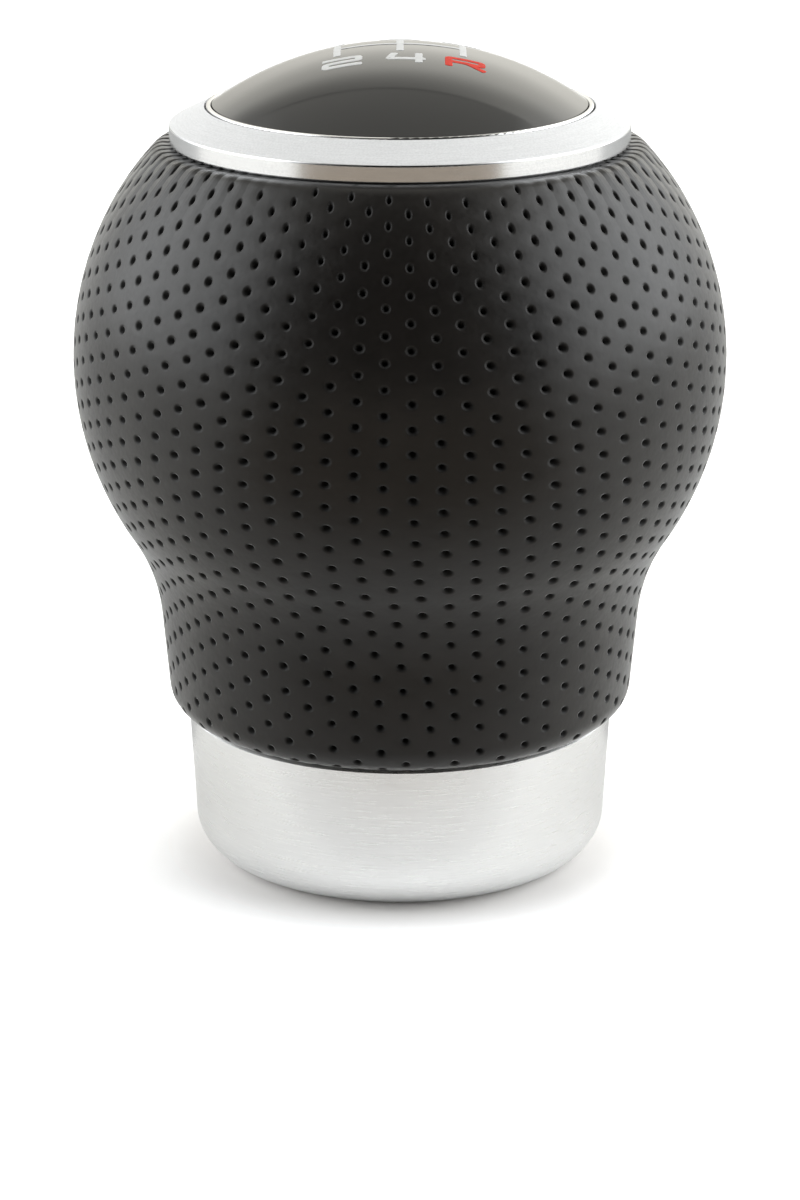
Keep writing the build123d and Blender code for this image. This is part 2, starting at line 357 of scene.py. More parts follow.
def row_run(row, turn):
    """Run along the outline of a row at an angle: even steps with a wave, less the climb, plus a tilt.

    What would climb past the hem is pressed together under the ring, by an exponential that meets it
    smoothly.
    """
    share = np.asarray(row) / HALF_ROWS
    level = PATTERN_START + PATTERN_LENGTH * share + ROW_WAVE * np.sin(2 * math.pi * share)
    climb = between(CLIMB, share) * smooth_step((1 - np.cos(turn)) / CLIMB_REACH)
    run = level - climb + between(TILT, share) * np.sin(turn)
    pressed = 1 - np.exp(-np.clip(HIDDEN_RUN - run, 0, None) / HIDDEN_REACH)
    return np.where(run > HIDDEN_RUN, run, HIDDEN_RUN - HIDDEN_REACH * pressed)


front_ends = row_run(np.array([0, HALF_ROWS]), 0.0).round(2)
print("places for holes", HOLE_COLUMNS * (HALF_ROWS - 1), "front row ends", front_ends)

# %% [markdown]
# ## Pleats and the closing seam
# The sheet is wider than the ring, so its upper hem gathers into small pleats that fade within a few
# millimetres. There are none at the front, and they are strongest from the sides round to the back. A pleat
# is only one step of the pattern wide, too fine for the mesh, so the surface gets just the soft sag over all
# of them, and the grooves follow in the finish. At the back the sheet's two ends are turned in and sewn, so
# the leather dips there and has no holes. Sag and dip are one lift, added to the plain surface.

# %% Reach of pleats and seam
RING_EDGE = bulb_start - 1.7
RING_CLEAR = 1.5
PLEAT_FADE = 2.6
PLEAT_FRONT = 0.95
PLEAT_TURN = 0.55
SAG_DEPTH = 0.15
SEAM_START = bulb_start - 2.2
SEAM_STOP = bulb_start + 53.2
SEAM_END = 2.0
SEAM_DIP = 0.4
SEAM_HALF_WIDTH = 1.5
SEAM_CLEAR = 2.6
print("pleats", HALF_COLUMNS, "fading over", PLEAT_FADE, "mm, seam", round(SEAM_STOP - SEAM_START, 1), "mm")


# %% The lift of the skin
def pleat_weight(run, turn):
    """Share of a pleat's depth: full at the ring's edge, fading by an exponential, and none at the front."""
    fade = np.exp(-np.clip(run - RING_EDGE, 0, None) / PLEAT_FADE)
    return fade * smooth_step((PLEAT_FRONT - np.cos(turn)) / PLEAT_TURN)


def grip_radius_at(run):
    """Radius of the grip at a run along the outline."""
    return np.interp(run, outline_run, outline[:, 0])


def seam_reach(run, turn):
    """Distance in millimetres round the knob from the seam at its back."""
    gap = np.angle(np.exp(1j * (turn - math.pi)))
    return gap * grip_radius_at(run)


def seam_ends(run):
    """Share of the seam's depth along its length: 1, easing to 0 over a short end at the top and the foot."""
    return smooth_step((run - SEAM_START) / SEAM_END) * smooth_step((SEAM_STOP - run) / SEAM_END)


def skin_lift(run, turn):
    """A soft sag over the pleats beside the ring and a bell-shaped dip at the seam."""
    dip = SEAM_DIP * seam_ends(run) * np.exp(-((seam_reach(run, turn) / SEAM_HALF_WIDTH) ** 2))
    return -SAG_DEPTH * pleat_weight(run, turn) - dip


print("dip at the seam", skin_lift(np.array([30.0]), np.array([math.pi])).round(2), "mm")

# %% [markdown]
# ## The leather's finish
# Smooth black leather with a thin matt coat: almost black by itself, a little warm, so what shows is mostly
# its soft gloss, which grows towards the edges. A faint pebble and a finer grain break the gloss up, and the
# tone varies a little. Three attributes on the mesh's points tell the finish where it is. One says how deep a
# point lies in a hole, and there the colour is painted near black, a painted shade inside the holes. The
# other two give the pleats: how strong they are, and which column of the pattern the point lies on. A zigzag
# over the columns makes a groove along each of them, as a bump and as painted shade, which would take many
# more points as a shape.

# %% Grooves of the pleats
PLEAT_DEPTH = 0.35
PLEAT_HALF = 0.4
PIT_PAINTED_SHADE = (0.001, 0.001, 0.001)
PIT_ROUGHNESS = 0.55


def attribute(tree, name):
    """A value that the mesh carries on its points."""
    return add_node(tree, "ShaderNodeAttribute", {"attribute_name": name}).outputs["Fac"]


def groove_depth(tree):
    """Depth of the pleats: a zigzag over the columns, narrowed to a groove, times the pleats' weight."""
    beside = math_of(tree, "PINGPONG", attribute(tree, "pleat_count"), 0.5)
    groove = spread(tree, beside, 1, 0, 0, PLEAT_HALF)
    return math_of(tree, "MULTIPLY", groove, attribute(tree, "pleat"))


print("grooves", 2 * PLEAT_HALF, "of a column wide")


# %% Leather finish
def leather_finish():
    """Mottled warm black under a soft gloss, with pebble, grain and pleats as bump, and painted shade
    darkening the holes and the pleats' grooves.
    """
    material, tree, shader = new_finish(
        "leather", (0.01, 0.01, 0.01), 0.36, ior=1.41, sheen_weight=0.42, sheen_roughness=0.3
    )
    place = object_place(tree)
    mottle = spread(tree, noise(tree, place, 240.0), 0, 1)
    coat = tone(tree, mottle, (0.0047, 0.0037, 0.0031), (0.0084, 0.0067, 0.0057))
    pit = attribute(tree, "pit")
    groove = groove_depth(tree)
    grain = noise(tree, place, 2600.0, 4.0)
    # Painted shade: the colour turns near black inside the holes and along the pleats' grooves.
    feed(
        tree, shader,
        base_color=tone(tree, math_of(tree, "MAXIMUM", pit, groove), coat, PIT_PAINTED_SHADE),
        roughness=math_of(tree, "MULTIPLY_ADD", pit, PIT_ROUGHNESS, spread(tree, grain, 0.32, 0.4)),
    )
    pebble = add_node(tree, "ShaderNodeTexVoronoi", {"feature": "SMOOTH_F1"}, Vector=place, Scale=1900.0)
    low = add_bump(tree, shader, pebble.outputs["Distance"], 0.008)
    low = add_bump(tree, shader, grain, 0.006, low)
    add_bump(tree, shader, math_of(tree, "SUBTRACT", 1.0, groove), PLEAT_DEPTH, low)
    return material


leather = leather_finish()
print("finish", leather.name)

# %% [markdown]
# ## The perforated leather
# Each hole lies in a diamond whose corners are the middles of the gaps round it. The diamonds tile the sheet,
# so the mesh has no leftover faces: a diamond's rim, a flat ring, the hole's edge and a cone down to its
# middle. Rims of neighbours share their points by whole-number keys. Half diamonds close the pattern at both
# ends, and a plain grid carries the skin round the hems and along its inside, so it is one closed sheet with
# a real thickness. Cutting 1,900 holes out of a solid would give the same look with slow boolean steps and
# ragged faces.

# %% The diamond and the rings in it
SIDE_STEPS = 4
GRID_COLUMNS = SIDE_STEPS * HALF_COLUMNS
HOLE_WIDTH_SHARE = 0.079
HOLE_HALF_HEIGHT = 0.29
RING_SCALE = np.array([1.7, 0.98])
RING_DEPTH = np.array([0.0, 0.09])
# Share of the painted hole shade at the flat ring and at the hole's edge.
RING_PIT = np.array([0.0, 0.8])
HOLE_DEPTH = 1.0
corner_places = np.array([[1, 0], [0, -1], [-1, 0], [0, 1]])
rim_steps = np.arange(SIDE_STEPS)[None, :, None]
next_corners = np.roll(corner_places, -1, axis=0)[:, None, :]
rim_keys = corner_places[:, None, :] * (SIDE_STEPS - rim_steps) + next_corners * rim_steps
rim_keys = rim_keys.reshape(-1, 2)
RIM_COUNT = len(rim_keys)
rim_angle = 2 * math.pi * np.arange(RIM_COUNT) / RIM_COUNT
print("points round a hole", RIM_COUNT)


# %% Places of the holes
def hole_centres():
    """Column and row of every hole: each row has every second column, and odd rows are shifted by one."""
    row, column = np.meshgrid(np.arange(1, HALF_ROWS), 2 * np.arange(HOLE_COLUMNS), indexing="ij")
    return (column + row % 2).ravel(), row.ravel()


column, row = hole_centres()
print("places", len(row))

# %% Rings round the holes
HOLE_SIZES = (0.93, 1.07)
HIGH_REACH = 14
HIGH_NARROW = 0.22
HIGH_TALL = 0.2
PLEAT_NARROW = 0.4
PLEAT_TALL = 0.6
SMALLEST_PITCH = 0.5


def hole_rings(column, row):
    """The flat ring and the edge of every hole: columns, rows, depths and pits, and which places are punched.

    Each ring is an ellipse in steps of the pattern. A hole is as wide as a share of its pitch and of even
    height, narrower and longer high on the bulb and inside a pleat. Beside the seam and under the ring, where
    the sheet isn't punched, it is flat.
    """
    draw = np.random.default_rng(5)
    size = draw.uniform(*HOLE_SIZES, len(row))
    turn = column_turn(column, row)
    run = row_run(row, turn)
    pleat = pleat_weight(run, turn)
    high = 1 - smooth_step((run - bulb_start) / HIGH_REACH)
    row_pitch = np.clip(row_run(row + 0.5, turn) - row_run(row - 0.5, turn), SMALLEST_PITCH, None)
    wide = 2 * HOLE_WIDTH_SHARE * size * (1 - PLEAT_NARROW * pleat) * (1 - HIGH_NARROW * high)
    tall = HOLE_HALF_HEIGHT * size * (1 + PLEAT_TALL * pleat) * (1 + HIGH_TALL * high) / row_pitch
    punched = (np.abs(seam_reach(run, turn)) > SEAM_CLEAR) & (run > RING_EDGE + RING_CLEAR)
    scale = RING_SCALE[None, :, None]
    ring_column = column[:, None, None] + scale * wide[:, None, None] * np.cos(rim_angle)
    ring_row = row[:, None, None] - scale * tall[:, None, None] * np.sin(rim_angle)
    depth = RING_DEPTH[None, :, None] * punched[:, None, None] * np.ones(RIM_COUNT)
    pit = RING_PIT[None, :, None] * punched[:, None, None] * np.ones(RIM_COUNT)
    return ring_column, ring_row, depth, pit, punched


ring_column, ring_row, ring_depth, ring_pit, punched = hole_rings(column, row)
print("holes punched", punched.sum(), "of", len(row), "places")


# %% Rims that neighbours share
def rim_key(column, row):
    """One whole number for a point of the pattern, counted in quarters and closed round the knob."""
    return np.mod(column, GRID_COLUMNS) + GRID_COLUMNS * row


cell_columns = SIDE_STEPS * column[:, None] + rim_keys[:, 0]
cell_rows = SIDE_STEPS * row[:, None] + rim_keys[:, 1]
cell_keys = rim_key(cell_columns, cell_rows)
border_steps = np.arange(GRID_COLUMNS)
top_keys = rim_key(border_steps, 0)
foot_keys = rim_key(border_steps, SIDE_STEPS * HALF_ROWS)
rim_points = np.unique(np.concatenate([cell_keys.ravel(), top_keys, foot_keys]))
print("shared rim points", len(rim_points))


# %% Faces of the pattern
def rim_place(keys):
    """Which of the shared rim points each key is."""
    return np.searchsorted(rim_points, keys)


def band(inner, outer):
    """Quads between two rings of equal count, the outer one first, so that they face outwards."""
    return facets(outer, np.roll(outer, -1, axis=1), np.roll(inner, -1, axis=1), inner)


def half_diamonds(edge_row, towards):
    """Faces of the half diamonds along one end: a zigzag of rims, joined to the straight end step by step."""
    step = np.arange(2 * SIDE_STEPS + 1)
    start = SIDE_STEPS * (2 * np.arange(HOLE_COLUMNS)[:, None] - 1) + step
    depth = SIDE_STEPS - np.abs(step - SIDE_STEPS)
    zigzag = rim_place(rim_key(start, edge_row + towards * depth))
    straight = rim_place(rim_key(start, edge_row))
    low, high = (zigzag, straight) if towards > 0 else (straight, zigzag)
    quads = facets(low[:, 1:-2], low[:, 2:-1], high[:, 2:-1], high[:, 1:-2])
    first = facets(low[:, 0], low[:, 1], high[:, 1])
    last = facets(low[:, -2], low[:, -1], high[:, -2])
    return quads, np.concatenate([first, last])


rim_index = rim_place(cell_keys)
ring_index = len(rim_points) + np.arange(ring_column.size).reshape(ring_column.shape)
middle_index = len(rim_points) + ring_column.size + np.arange(len(row))
flat_ring, edge_ring = ring_index[:, 0], ring_index[:, 1]
pattern_quads = [band(flat_ring, rim_index), band(edge_ring, flat_ring)]
cone_tips = np.broadcast_to(middle_index[:, None], edge_ring.shape)
cones = facets(edge_ring, np.roll(edge_ring, -1, axis=1), cone_tips)
top_quads, top_triangles = half_diamonds(0, 1)
foot_quads, foot_triangles = half_diamonds(SIDE_STEPS * HALF_ROWS, -1)
print("quads in the diamonds", sum(len(block) for block in pattern_quads))

# %% The hems and the inside
FOOT_ROWS = 8
LINING_ROWS = 18
TOP_ROWS = 6


def hem_and_lining(column):
    """Rows that carry the skin from the pattern's foot round the lower hem, up the inside and over the top.

    Each row has a run along the outline, a turn and a lift: the skin's own lift at the hems, and the
    thickness inwards along the lining.
    """
    end = outline_run[-1]
    foot_turn, top_turn = column_turn(column, HALF_ROWS), column_turn(column, 0)
    foot_run = between((row_run(HALF_ROWS, foot_turn), end), np.linspace(0, 1, FOOT_ROWS)[1:, None])
    top_run = between((0, row_run(0, top_turn)), np.linspace(0, 1, TOP_ROWS)[:-1, None])
    share = np.linspace(0, 1, LINING_ROWS)[:, None]
    lining_turn = column_turn(column, HALF_ROWS * (1 - share))
    lining_run = np.broadcast_to(end * (1 - share), lining_turn.shape)
    run = np.concatenate([foot_run, lining_run, top_run])
    turn = np.concatenate([
        np.broadcast_to(foot_turn, foot_run.shape), lining_turn, np.broadcast_to(top_turn, top_run.shape),
    ])
    inside = np.concatenate([np.zeros(len(foot_run)), np.ones(len(share)), np.zeros(len(top_run))])[:, None]
    lift = np.where(inside > 0, -LEATHER_THICKNESS, skin_lift(run, turn))
    return run, turn, lift


grid_run, grid_turn, grid_lift = hem_and_lining(border_steps / SIDE_STEPS)
grid_points = on_grip(grid_run, grid_turn, grid_lift).reshape(-1, 3)
grid_start = middle_index[-1] + 1
grid_rows = np.concatenate([
    rim_place(foot_keys)[None],
    grid_start + np.arange(len(grid_points)).reshape(-1, GRID_COLUMNS),
    rim_place(top_keys)[None],
])
beside = np.roll(grid_rows, -1, axis=1)
grid_quads = facets(grid_rows[1:], beside[1:], beside[:-1], grid_rows[:-1])
print("hem and lining rows", len(grid_run), "quads", len(grid_quads))


# %% The leather as one piece
def sheet_points(column, row, depth):
    """Points of the punched sheet: place in the pattern, then the skin's lift less the hole's depth."""
    turn = column_turn(column, row)
    run = row_run(row, turn)
    return on_grip(run, turn, skin_lift(run, turn) - depth).reshape(-1, 3)


rim_column = (rim_points % GRID_COLUMNS) / SIDE_STEPS
rim_row = (rim_points // GRID_COLUMNS) / SIDE_STEPS
leather_points = np.concatenate([
    sheet_points(rim_column, rim_row, 0.0),
    sheet_points(ring_column, ring_row, ring_depth),
    sheet_points(column, row, HOLE_DEPTH * punched),
    grid_points,
])
leather_faces = [*pattern_quads, top_quads, foot_quads, grid_quads, top_triangles, foot_triangles, cones]
leather_piece = make_piece("leather_skin", leather_points, leather_faces, leather, "grip", "black_leather")
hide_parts("leather_cover")
print("leather triangles", sum(len(block) * (block.shape[1] - 2) for block in leather_faces))

# %% What the finish reads from the mesh
pattern_column = np.concatenate([rim_column, ring_column.ravel(), column])
pattern_row = np.concatenate([rim_row, ring_row.ravel(), row])
pattern_turn = column_turn(pattern_column, pattern_row)
point_values = {name: np.zeros(len(leather_points), np.float32) for name in ("pit", "pleat", "pleat_count")}
# pit carries the painted shade inside the holes; pleat and pleat_count carry the pleats' grooves, as bump and
# painted shade.
point_values["pit"][ring_index.ravel()] = ring_pit.ravel()
point_values["pit"][middle_index] = punched
point_values["pleat"][:grid_start] = pleat_weight(row_run(pattern_row, pattern_turn), pattern_turn)
point_values["pleat_count"][:grid_start] = pattern_column
for name, values in point_values.items():
    leather_piece.data.attributes.new(name, "FLOAT", "POINT").data.foreach_set("value", values)
print("attributes", sorted(point_values))

# %% [markdown]
# ## Normals of the leather
# A mesh guesses each normal from the faces round a point. Beside a hole that guess leans into the hole, and
# every diamond would shade like a small cushion. The sheet is a formula, so its true normals are worked out
# instead and given to the rims, for the most part to the flat rings, and to every ring where no hole is
# punched. The holes and the lining keep the mesh's own normals.

# %% True normals of the sheet
FLAT_SHARE = 0.85


def sheet_normals(column, row, step=0.05):
    """Normals of the sheet without holes: the cross product of a step down a column and one along a row."""
    along = sheet_points(column + step, row, 0.0) - sheet_points(column - step, row, 0.0)
    down = sheet_points(column, row + step, 0.0) - sheet_points(column, row - step, 0.0)
    across = np.cross(down, along)
    return across / np.linalg.norm(across, axis=1)[:, None]


normals = np.empty(leather_points.size, np.float32)
leather_piece.data.vertex_normals.foreach_get("vector", normals)
normals = normals.reshape(-1, 3)
normals[: len(rim_points)] = sheet_normals(rim_column, rim_row)
flat_normals = sheet_normals(ring_column[:, 0], ring_row[:, 0])
flat_points = flat_ring.ravel()
normals[flat_points] = FLAT_SHARE * flat_normals + (1 - FLAT_SHARE) * normals[flat_points]
plain = ~punched
normals[flat_ring[plain].ravel()] = sheet_normals(ring_column[plain, 0], ring_row[plain, 0])
normals[edge_ring[plain].ravel()] = sheet_normals(ring_column[plain, 1], ring_row[plain, 1])
normals[middle_index[plain]] = sheet_normals(column[plain], row[plain])
leather_piece.data.normals_split_custom_set_from_vertices(normals.tolist())
print("places without a hole", plain.sum())

# %% [markdown]
# ## Satin and polished aluminium
# The ring and the collar are turned on a lathe and anodised satin. The tool leaves fine lines that run round
# the axis, so a noise is stretched: slow along X and Y, fast along the height and the radius together. It
# varies the tone, the roughness and a very shallow bump. The ring's sloped face looks even and dull beside
# its bright side, as after bead blasting, so above the crease the lines give way to a fine grain. The rim
# round the cap is the same metal, polished, and the socket inside is left as turned. A brushed picture would
# repeat and would stretch on the slope.

# %% Lathe lines and plain turned metal
EDGE_TINT = (0.7, 0.7, 0.7, 1)
LINE_SCALE = (350, 350, 9000)
LINE_SLANT = 1.7


def lathe_lines(tree):
    """Fine lines round the Z axis: a noise, slow along X and Y and fast along height and radius together."""
    place = add_node(tree, "ShaderNodeTexCoord").outputs["Object"]
    axes = axes_of(tree, place)
    level = math_of(tree, "MULTIPLY_ADD", axis_reach(tree, axes), LINE_SLANT, axes["Z"])
    stretched = add_node(tree, "ShaderNodeCombineXYZ", X=axes["X"], Y=axes["Y"], Z=level).outputs["Vector"]
    lined = add_node(tree, "ShaderNodeMapping", Vector=stretched, Scale=LINE_SCALE).outputs["Vector"]
    return noise(tree, lined, 1.0, 4.0)


def shaded(colour, shade):
    """A colour made darker by a factor."""
    return tuple(channel * shade for channel in colour)


def turned_roughness(tree, lines, roughness):
    """A roughness that varies by 15 parts in a hundred to either side along the lathe's lines."""
    return spread(tree, lines, roughness * 1.15, roughness * 0.85)


def turned_metal(name, colour, shade, roughness, groove):
    """Metal whose tone, roughness and shallow bump follow the lathe's lines."""
    material, tree, shader = new_finish(name, colour, roughness, metallic=1.0, specular_tint=EDGE_TINT)
    lines = lathe_lines(tree)
    feed(
        tree, shader,
        base_color=tone(tree, spread(tree, lines, 0, 1), shaded(colour, shade), colour),
        roughness=turned_roughness(tree, lines, roughness),
    )
    add_bump(tree, shader, lines, groove)
    return material


satin_aluminium = turned_metal(
    "satin_aluminium", (0.88, 0.88, 0.885), shade=0.955, roughness=0.3, groove=0.0015
)
polished_rim = turned_metal(
    "polished_rim", (0.96, 0.96, 0.965), shade=0.97, roughness=0.1, groove=0.0004
)
socket_metal = turned_metal(
    "socket_aluminium", (0.74, 0.74, 0.755), shade=0.85, roughness=0.34, groove=0.006
)
print("metals", satin_aluminium.name, polished_rim.name, socket_metal.name)

# %% The ring's blasted slope
RING_SIDE = 1.57
RING_CREASE = SEAT_HEIGHT + RING_SIDE
CREASE_HALF = 0.04
BLASTED_ROUGHNESS = 0.5
BLASTED_METAL = 0.12
BEAD_SHARE = 0.6


def ring_metal(name, colour, shade, roughness, groove):
    """Turned metal below the ring's crease, and above it rough, dull and grained, as after bead blasting."""
    material, tree, shader = new_finish(
        name, colour, roughness, metallic=1.0, specular_tint=EDGE_TINT, specular_ior_level=0.0
    )
    place = object_place(tree)
    lines = lathe_lines(tree)
    beads = noise(tree, place, 6000.0, 2.0)
    height = axes_of(tree, place)["Z"]
    above = spread(tree, height, 0, 1, (RING_CREASE - CREASE_HALF) * MM, (RING_CREASE + CREASE_HALF) * MM)
    grain = spread(tree, mix_of(tree, BEAD_SHARE, lines, beads), 0, 1, 0.35, 0.65)
    feed(
        tree, shader,
        base_color=tone(tree, grain, shaded(colour, shade), colour),
        roughness=mix_of(tree, above, turned_roughness(tree, lines, roughness), BLASTED_ROUGHNESS),
        metallic=spread(tree, above, 1, BLASTED_METAL, 0, 1),
    )
    add_bump(tree, shader, mix_of(tree, above, lines, beads), groove)
    return material


ring_aluminium = ring_metal(
    "ring_aluminium", (0.76, 0.76, 0.765), shade=0.86, roughness=0.2, groove=0.0008
)
print("ring blasted above", round(RING_CREASE, 2), "mm")

# %% [markdown]
# ## The thread on the neck
# The collar screws on to the socket's neck, which shows when the collar is off. A swept thread would need
# thousands of faces for a part that is mostly hidden, so the groove is drawn in the finish: a zigzag of the
# height over the pitch plus the turn round the axis, which is a helix. It shows only where the metal reaches
# the neck's outside, so the bore stays plain.

# %% Thread on the socket's neck
NECK_RADIUS = 12.5
THREAD_PITCH = 1.0
THREAD_DEPTH = 0.4
THREAD_FADE = (0.2, 0.05)


def cut_thread(material, radius, pitch, depth):
    """A helical groove where a radius is reached: a zigzag of height over pitch plus turns round the axis."""
    tree = material.node_tree
    shader = tree.nodes["Principled BSDF"]
    axes = axes_of(tree, add_node(tree, "ShaderNodeTexCoord").outputs["Object"])
    turn = math_of(tree, "ARCTAN2", axes["Y"], axes["X"])
    steps = math_of(tree, "DIVIDE", axes["Z"], pitch * MM)
    helix = math_of(tree, "MULTIPLY_ADD", turn, 0.5 / math.pi, steps)
    zigzag = math_of(tree, "PINGPONG", helix, 0.5)
    start, stop = ((radius - fade) * MM for fade in THREAD_FADE)
    on_neck = spread(tree, axis_reach(tree, axes), 0, 1, start, stop)
    height = math_of(tree, "MULTIPLY", zigzag, on_neck)
    add_bump(tree, shader, height, 2 * depth, shader.inputs["Normal"].links[0].from_socket)


cut_thread(socket_metal, NECK_RADIUS, THREAD_PITCH, THREAD_DEPTH)
print("thread of", THREAD_PITCH, "mm on the neck")

# %% [markdown]
# ## Moulded plastics and plated screws
# The cap is polished black plastic, so its look is its reflection, broken only by a trace of ripple and fine
# smears. The core and the bush are plain mouldings with a spark-eroded texture. The screws are zinc plated
# steel with a cloudy grey tone. None of these shows a pattern, so noise at the right scale is enough for all.


# %% Plastic and steel finishes
def gloss_plastic():
    """Polished black moulding: slight ripple as bump and faint smears as roughness."""
    material, tree, shader = new_finish("gloss_black", (0.01, 0.01, 0.011), 0.07, ior=1.63)
    place = object_place(tree)
    smear = noise(tree, place, 130.0, 5.0)
    feed(
        tree, shader,
        base_color=tone(tree, smear, (0.009, 0.009, 0.0095), (0.0138, 0.0138, 0.0144)),
        roughness=spread(tree, smear, 0.06, 0.1),
    )
    add_bump(tree, shader, noise(tree, place, 220.0, 1.0), 0.002)
    return material


def moulded_plastic(name, dark, light, roughness):
    """Matt moulding with a fine eroded texture."""
    material, tree, shader = new_finish(name, light, roughness)
    place = object_place(tree)
    grain = noise(tree, place, 3500.0, 2.0)
    feed(
        tree, shader,
        base_color=tone(tree, spread(tree, noise(tree, place, 180.0), 0, 1), dark, light),
        roughness=spread(tree, grain, roughness - 0.08, roughness + 0.08),
    )
    add_bump(tree, shader, grain, 0.01)
    return material


def plated_steel():
    """Zinc plated steel: cloudy grey metal with a fine grain."""
    material, tree, shader = new_finish("screw_steel", (0.45, 0.45, 0.47), 0.34, metallic=1.0)
    place = object_place(tree)
    cloud = noise(tree, place, 900.0, 4.0)
    feed(
        tree, shader,
        base_color=tone(tree, spread(tree, cloud, 0, 1), (0.34, 0.34, 0.36), (0.52, 0.52, 0.54)),
        roughness=spread(tree, cloud, 0.42, 0.28),
    )
    add_bump(tree, shader, noise(tree, place, 5000.0, 2.0), 0.003)
    return material


print("plastic and steel ready")

# %% Finish on every solid
screw_finish = plated_steel()
node_finish = {
    "top_ring": ring_aluminium,
    "base_collar": satin_aluminium,
    "cap_bezel": polished_rim,
    "pattern_cap": gloss_plastic(),
    "grip_core": moulded_plastic("core_plastic", (0.045, 0.045, 0.048), (0.065, 0.065, 0.07), 0.55),
    "adapter_bush": moulded_plastic("bush_plastic", (0.03, 0.03, 0.03), (0.05, 0.05, 0.05), 0.45),
    "lever_socket": socket_metal,
    "ring_screws": screw_finish,
    "grub_screws": screw_finish,
}
for node_name, finish in node_finish.items():
    node_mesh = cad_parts[node_name].data
    node_mesh.materials.clear()
    node_mesh.materials.append(finish)
print("finished nodes", sorted(node_finish))

# %% [markdown]
# ## A stroke along a path
# Printed strokes and sewing thread have one thing in common: a small cross-section carried along a path. One
# function makes them both. It takes the path's points with a direction to the side and one outwards at each,
# and lays an oval round every point. The oval shrinks to nothing at both ends, as a round cap does. A curve
# object with a bevel would do the same, but its side can't be kept flat on a dome.


# %% The stroke function
def side_of(path, out):
    """The direction square to a path and to the one outwards: their cross product, made one long."""
    side = np.cross(np.gradient(path, axis=0), out)
    return side / np.linalg.norm(side, axis=1)[:, None]


def stroke(path, side, out, half_width, half_height, around=10, cap=None):
    """Points and faces of an oval tube: path + side w cos(a) + out h sin(a), with round ends.

    Over the last cap length at either end both half sizes follow a quarter circle down to nothing, where the
    tube closes in one point.
    """
    length = run_along(path)
    cap = half_width if cap is None else cap
    from_end = np.minimum(length, length[-1] - length)[1:-1]
    swell = np.sqrt(np.clip(1 - (1 - np.clip(from_end / cap, 0, 1)) ** 2, 0, 1))[:, None, None]
    angle = 2 * math.pi * np.arange(around)[:, None] / around
    oval = side[1:-1, None] * half_width * np.cos(angle) + out[1:-1, None] * half_height * np.sin(angle)
    points = (path[1:-1, None] + swell * oval).reshape(-1, 3)
    rings = np.arange(len(points)).reshape(-1, around)
    beside = np.roll(rings, -1, axis=1)
    quads = facets(rings[:-1], beside[:-1], beside[1:], rings[1:])
    start, stop = len(points), len(points) + 1
    first = facets(np.full(around, start), beside[0], rings[0])
    last = facets(np.full(around, stop), rings[-1], beside[-1])
    return np.concatenate([points, path[:1], path[-1:]]), quads, np.concatenate([first, last])


def join_strokes(strokes):
    """Several strokes as one set of points and faces, each stroke's faces counted on from the last."""
    counts = np.cumsum([0] + [len(points) for points, _, _ in strokes])
    points = np.concatenate([made[0] for made in strokes])
    quads = np.concatenate([made[1] + start for made, start in zip(strokes, counts)])
    triangles = np.concatenate([made[2] + start for made, start in zip(strokes, counts)])
    return points, [quads, triangles]


print("stroke function ready")

# %% [markdown]
# ## The shift pattern on the cap
# A plain five speed pattern: three gates joined by a cross bar, with 1 3 5 along the top, 2 4 R along the
# bottom and the R in red. The figures are drawn here as simple strokes of straight runs with rounded corners,
# and each stroke is laid on the dome with its side along the surface. A flat decal would float over a dome or
# cut into it.

# %% The dome and the strokes of the figures
cap_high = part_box("pattern_cap")[1] / MM
DOME_RISE = 4.95
DOME_RADIUS = cap_high.x
dome_sphere = (DOME_RADIUS**2 + DOME_RISE**2) / (2 * DOME_RISE)
dome_centre = np.array([0, 0, cap_high.z - dome_sphere])


def line(*places):
    """Straight runs between places in a box one wide and one high, about its middle."""
    return np.array(places, float)


FIGURE_STROKES = {
    "1": [line((-0.2, 0.5), (0.1, 0.5), (0.1, -0.5))],
    "2": [line((-0.5, 0.5), (0.5, 0.5), (0.5, 0.02), (-0.5, -0.02), (-0.5, -0.5), (0.5, -0.5))],
    "3": [line((-0.5, 0.5), (0.5, 0.5), (0.5, -0.5), (-0.5, -0.5)), line((-0.3, 0), (0.5, 0))],
    "4": [line((-0.35, 0.5), (-0.5, -0.15), (0.5, -0.15)), line((0.4, 0.5), (0.4, -0.5))],
    "5": [line((0.5, 0.5), (-0.5, 0.5), (-0.5, 0.02), (0.5, -0.02), (0.5, -0.5), (-0.5, -0.5))],
    "R": [line((-0.5, -0.5), (-0.5, 0.5), (0.5, 0.5), (0.5, 0), (-0.5, 0)), line((0.05, 0), (0.5, -0.5))],
}
print("dome sphere", round(dome_sphere, 2), "figures", sorted(FIGURE_STROKES))

# %% Laying strokes on the dome
STROKE_STEP = 0.06
STROKE_CAP = 0.12
CORNER_STEPS = 7
PRINT_HEIGHT = 0.03
LAYER_STEP = 0.003


def even_path(places, extra):
    """A path made longer at both ends, resampled at even steps, with corners rounded by a running mean."""
    places = places.copy()
    first, last = places[0] - places[1], places[-1] - places[-2]
    places[0] += extra * first / np.hypot(*first)
    places[-1] += extra * last / np.hypot(*last)
    length = run_along(places)
    even = np.linspace(0, length[-1], max(8, int(length[-1] / STROKE_STEP)))
    flat = [np.interp(even, length, places[:, axis]) for axis in (0, 1)]
    weights = np.full(CORNER_STEPS, 1 / CORNER_STEPS)
    padded = [np.pad(values, CORNER_STEPS // 2, mode="reflect", reflect_type="odd") for values in flat]
    return np.column_stack([np.convolve(values, weights, "valid") for values in padded])


